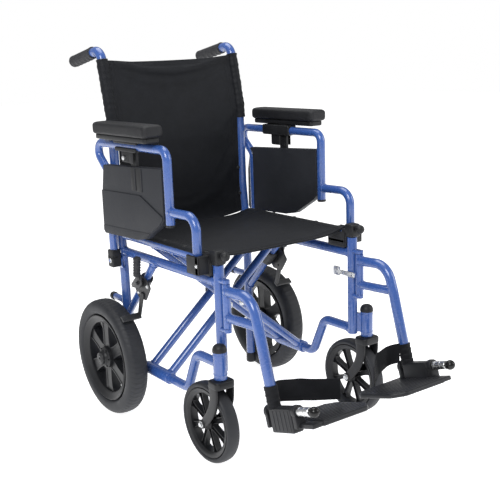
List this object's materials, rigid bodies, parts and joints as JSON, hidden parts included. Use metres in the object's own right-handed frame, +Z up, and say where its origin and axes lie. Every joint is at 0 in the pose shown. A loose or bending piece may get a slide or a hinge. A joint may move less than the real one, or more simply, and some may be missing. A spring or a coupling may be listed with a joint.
{
  "type": "folding attendant wheelchair",
  "caption": "Folding push wheelchair with small rear wheels, swivel casters, flip-back armrests, swing-away footrests and cloth seat and back.",
  "frame": {"origin": "middle of the chair's bounding box, on the floor", "axes": "+Z up, the chair faces -Y, its right-hand side is -X"},
  "size_m": [0.605, 1.0068, 0.9811],
  "materials": {
    "back_post_r": "gloss paint",
    "side_frame_r": "gloss paint",
    "caster_housing_r": "gloss paint",
    "caster_fork_r": "moulded",
    "caster_rim_r": "moulded",
    "caster_tyre_r": "solid tyre",
    "rear_rim_r": "moulded",
    "rear_tyre_r": "treaded",
    "rear_axle_r": "zinc plated",
    "push_grip_r": "ribbed",
    "armrest_frame_r": "gloss paint",
    "arm_socket_r": "moulded",
    "side_panel_r": "grained",
    "armrest_clasp_r": "moulded",
    "armrest_button_r": "satin",
    "armrest_stem_r": "moulded",
    "armrest_pad_r": "foamed skin",
    "arm_clamp_r": "moulded",
    "clamp_knob_r": "moulded",
    "brake_body_r": "coated",
    "brake_lever_r": "grip over steel",
    "brake_shoe_r": "coated",
    "hanger_r": "gloss paint",
    "hanger_latch_r": "zinc plated",
    "footrest_tube_r": "moulded",
    "footplate_pin_r": "chromed",
    "footplate_r": "moulded",
    "heel_loop_r": "woven strap",
    "back_post_l": "gloss paint",
    "side_frame_l": "gloss paint",
    "caster_housing_l": "gloss paint",
    "caster_fork_l": "moulded",
    "caster_rim_l": "moulded",
    "caster_tyre_l": "solid tyre",
    "rear_rim_l": "moulded",
    "rear_tyre_l": "treaded",
    "rear_axle_l": "zinc plated",
    "push_grip_l": "ribbed",
    "armrest_frame_l": "gloss paint",
    "arm_socket_l": "moulded",
    "side_panel_l": "grained",
    "armrest_clasp_l": "moulded",
    "armrest_button_l": "satin",
    "armrest_stem_l": "moulded",
    "armrest_pad_l": "foamed skin",
    "arm_clamp_l": "moulded",
    "clamp_knob_l": "moulded",
    "brake_body_l": "coated",
    "brake_lever_l": "grip over steel",
    "brake_shoe_l": "coated",
    "hanger_l": "gloss paint",
    "hanger_latch_l": "zinc plated",
    "footrest_tube_l": "moulded",
    "footplate_pin_l": "chromed",
    "footplate_l": "moulded",
    "heel_loop_l": "woven strap",
    "cross_arm_a": "gloss paint",
    "cross_arm_b": "gloss paint",
    "seat_sling": "woven nylon",
    "back_sling": "woven nylon"
  },
  "bodies": {
    "frame_r": {"back_post_r": "back_post_r", "side_frame_r": "side_frame_r", "caster_housing_r": "caster_housing_r", "rear_axle_r": "rear_axle_r", "push_grip_r": "push_grip_r", "arm_clamp_r": "arm_clamp_r", "brake_body_r": "brake_body_r", "back_sling": "back_sling"},
    "cross_a": {"cross_arm_a": "cross_arm_a", "seat_sling": "seat_sling"},
    "cross_b": {"cross_arm_b": "cross_arm_b"},
    "frame_l": {"back_post_l": "back_post_l", "side_frame_l": "side_frame_l", "caster_housing_l": "caster_housing_l", "rear_axle_l": "rear_axle_l", "push_grip_l": "push_grip_l", "arm_clamp_l": "arm_clamp_l", "brake_body_l": "brake_body_l"},
    "rear_wheel_r": {"rear_rim_r": "rear_rim_r", "rear_tyre_r": "rear_tyre_r"},
    "fork_r": {"caster_fork_r": "caster_fork_r"},
    "caster_wheel_r": {"caster_rim_r": "caster_rim_r", "caster_tyre_r": "caster_tyre_r"},
    "armrest_r": {"armrest_frame_r": "armrest_frame_r", "arm_socket_r": "arm_socket_r", "side_panel_r": "side_panel_r", "armrest_clasp_r": "armrest_clasp_r"},
    "button_r": {"armrest_button_r": "armrest_button_r"},
    "pad_r": {"armrest_stem_r": "armrest_stem_r", "armrest_pad_r": "armrest_pad_r"},
    "knob_r": {"clamp_knob_r": "clamp_knob_r"},
    "brake_lever_r": {"brake_lever_r": "brake_lever_r"},
    "brake_shoe_r": {"brake_shoe_r": "brake_shoe_r"},
    "hanger_r": {"hanger_r": "hanger_r"},
    "latch_r": {"hanger_latch_r": "hanger_latch_r"},
    "footrest_r": {"footrest_tube_r": "footrest_tube_r"},
    "foot_pin_r": {"footplate_pin_r": "footplate_pin_r"},
    "footplate_r": {"footplate_r": "footplate_r", "heel_loop_r": "heel_loop_r"},
    "rear_wheel_l": {"rear_rim_l": "rear_rim_l", "rear_tyre_l": "rear_tyre_l"},
    "fork_l": {"caster_fork_l": "caster_fork_l"},
    "caster_wheel_l": {"caster_rim_l": "caster_rim_l", "caster_tyre_l": "caster_tyre_l"},
    "armrest_l": {"armrest_frame_l": "armrest_frame_l", "arm_socket_l": "arm_socket_l", "side_panel_l": "side_panel_l", "armrest_clasp_l": "armrest_clasp_l"},
    "button_l": {"armrest_button_l": "armrest_button_l"},
    "pad_l": {"armrest_stem_l": "armrest_stem_l", "armrest_pad_l": "armrest_pad_l"},
    "knob_l": {"clamp_knob_l": "clamp_knob_l"},
    "brake_lever_l": {"brake_lever_l": "brake_lever_l"},
    "brake_shoe_l": {"brake_shoe_l": "brake_shoe_l"},
    "hanger_l": {"hanger_l": "hanger_l"},
    "latch_l": {"hanger_latch_l": "hanger_latch_l"},
    "footrest_l": {"footrest_tube_l": "footrest_tube_l"},
    "foot_pin_l": {"footplate_pin_l": "footplate_pin_l"},
    "footplate_l": {"footplate_l": "footplate_l", "heel_loop_l": "heel_loop_l"}
  },
  "joints": [
    {"name": "fold", "type": "hinge", "parent": "frame_r", "child": "cross_a", "pos_m": [-0.207, 0.1376, 0.14], "axis": [0, -1, 0], "range_deg": [0, 32], "deforming": ["seat_sling", "back_sling"]},
    {"name": "cross_centre", "type": "hinge", "parent": "cross_a", "child": "cross_b", "pos_m": [0, 0.1176, 0.316], "axis": [0, -1, 0], "range_deg": [-64, 0]},
    {"name": "frame_l_foot", "type": "hinge", "parent": "cross_b", "child": "frame_l", "pos_m": [0.207, 0.1376, 0.14], "axis": [0, -1, 0], "range_deg": [0, 32]},
    {"name": "rear_wheel_spin_r", "type": "hinge", "parent": "frame_r", "child": "rear_wheel_r", "pos_m": [-0.2655, 0.2876, 0.159], "axis": [1, 0, 0], "continuous": true},
    {"name": "caster_swivel_r", "type": "hinge", "parent": "frame_r", "child": "fork_r", "pos_m": [-0.232, -0.1914, 0.25], "axis": [0, 0, 1], "continuous": true},
    {"name": "caster_spin_r", "type": "hinge", "parent": "fork_r", "child": "caster_wheel_r", "pos_m": [-0.232, -0.1404, 0.1], "axis": [1, 0, 0], "continuous": true},
    {"name": "armrest_flip_r", "type": "hinge", "parent": "frame_r", "child": "armrest_r", "pos_m": [-0.237, 0.2826, 0.425], "axis": [-1, 0, 0], "range_deg": [0, 100]},
    {"name": "armrest_height_r", "type": "slide", "parent": "armrest_r", "child": "pad_r", "axis": [0, 0, 1], "range_m": [0, 0.07]},
    {"name": "armrest_button_push_r", "type": "slide", "parent": "armrest_r", "child": "button_r", "axis": [1, 0, 0], "range_m": [0, 0.004], "stiffness_N_per_m": 400},
    {"name": "clamp_knob_turn_r", "type": "hinge", "parent": "frame_r", "child": "knob_r", "pos_m": [-0.207, -0.1939, 0.509], "axis": [0, -1, 0], "range_deg": [0, 360]},
    {"name": "brake_lever_push_r", "type": "hinge", "parent": "frame_r", "child": "brake_lever_r", "pos_m": [-0.241, 0.1636, 0.384], "axis": [1, 0, 0], "range_deg": [0, 55]},
    {"name": "brake_shoe_press_r", "type": "hinge", "parent": "frame_r", "child": "brake_shoe_r", "pos_m": [-0.229, 0.1596, 0.352], "axis": [1, 0, 0], "range_deg": [0, 16]},
    {"name": "hanger_swing_r", "type": "hinge", "parent": "frame_r", "child": "hanger_r", "pos_m": [-0.207, -0.1929, 0.4], "axis": [0, 0, -1], "range_deg": [0, 90]},
    {"name": "hanger_latch_lift_r", "type": "hinge", "parent": "hanger_r", "child": "latch_r", "pos_m": [-0.1915, -0.1824, 0.392], "axis": [1, 0, 0], "range_deg": [0, 20], "stiffness_Nm_per_rad": 0.5},
    {"name": "footrest_length_r", "type": "slide", "parent": "hanger_r", "child": "footrest_r", "axis": [0, -0.2785, -0.9604], "range_m": [0, 0.06]},
    {"name": "foot_pin_fold_r", "type": "hinge", "parent": "footrest_r", "child": "foot_pin_r", "pos_m": [-0.207, -0.4124, 0.208], "axis": [0, -0.9563, 0.2924], "range_deg": [0, 93]},
    {"name": "footplate_flip_r", "type": "hinge", "parent": "foot_pin_r", "child": "footplate_r", "pos_m": [-0.207, -0.4124, 0.208], "axis": [0, -0.9563, 0.2924], "range_deg": [0, 90], "deforming": ["heel_loop_r"]},
    {"name": "rear_wheel_spin_l", "type": "hinge", "parent": "frame_l", "child": "rear_wheel_l", "pos_m": [0.2655, 0.2876, 0.159], "axis": [1, 0, 0], "continuous": true},
    {"name": "caster_swivel_l", "type": "hinge", "parent": "frame_l", "child": "fork_l", "pos_m": [0.232, -0.1914, 0.25], "axis": [0, 0, 1], "continuous": true},
    {"name": "caster_spin_l", "type": "hinge", "parent": "fork_l", "child": "caster_wheel_l", "pos_m": [0.232, -0.1404, 0.1], "axis": [1, 0, 0], "continuous": true},
    {"name": "armrest_flip_l", "type": "hinge", "parent": "frame_l", "child": "armrest_l", "pos_m": [0.237, 0.2826, 0.425], "axis": [-1, 0, 0], "range_deg": [0, 100]},
    {"name": "armrest_height_l", "type": "slide", "parent": "armrest_l", "child": "pad_l", "axis": [0, 0, 1], "range_m": [0, 0.07]},
    {"name": "armrest_button_push_l", "type": "slide", "parent": "armrest_l", "child": "button_l", "axis": [-1, 0, 0], "range_m": [0, 0.004], "stiffness_N_per_m": 400},
    {"name": "clamp_knob_turn_l", "type": "hinge", "parent": "frame_l", "child": "knob_l", "pos_m": [0.207, -0.1939, 0.509], "axis": [0, -1, 0], "range_deg": [0, 360]},
    {"name": "brake_lever_push_l", "type": "hinge", "parent": "frame_l", "child": "brake_lever_l", "pos_m": [0.241, 0.1636, 0.384], "axis": [1, 0, 0], "range_deg": [0, 55]},
    {"name": "brake_shoe_press_l", "type": "hinge", "parent": "frame_l", "child": "brake_shoe_l", "pos_m": [0.229, 0.1596, 0.352], "axis": [1, 0, 0], "range_deg": [0, 16]},
    {"name": "hanger_swing_l", "type": "hinge", "parent": "frame_l", "child": "hanger_l", "pos_m": [0.207, -0.1929, 0.4], "axis": [0, 0, 1], "range_deg": [0, 90]},
    {"name": "hanger_latch_lift_l", "type": "hinge", "parent": "hanger_l", "child": "latch_l", "pos_m": [0.1915, -0.1824, 0.392], "axis": [1, 0, 0], "range_deg": [0, 20], "stiffness_Nm_per_rad": 0.5},
    {"name": "footrest_length_l", "type": "slide", "parent": "hanger_l", "child": "footrest_l", "axis": [0, -0.2785, -0.9604], "range_m": [0, 0.06]},
    {"name": "foot_pin_fold_l", "type": "hinge", "parent": "footrest_l", "child": "foot_pin_l", "pos_m": [0.207, -0.4124, 0.208], "axis": [0, 0.9563, -0.2924], "range_deg": [0, 93]},
    {"name": "footplate_flip_l", "type": "hinge", "parent": "foot_pin_l", "child": "footplate_l", "pos_m": [0.207, -0.4124, 0.208], "axis": [0, 0.9563, -0.2924], "range_deg": [0, 90], "deforming": ["heel_loop_l"]}
  ],
  "couplings": [
    {"joint": "cross_centre", "follows": "fold", "ratio": -2},
    {"joint": "frame_l_foot", "follows": "fold", "ratio": 1},
    {"joint": "brake_shoe_press_r", "follows": "brake_lever_push_r", "ratio": 0.28},
    {"joint": "foot_pin_fold_r", "follows": "fold", "ratio": 2.9},
    {"joint": "brake_shoe_press_l", "follows": "brake_lever_push_l", "ratio": 0.28},
    {"joint": "foot_pin_fold_l", "follows": "fold", "ratio": 2.9}
  ]
}
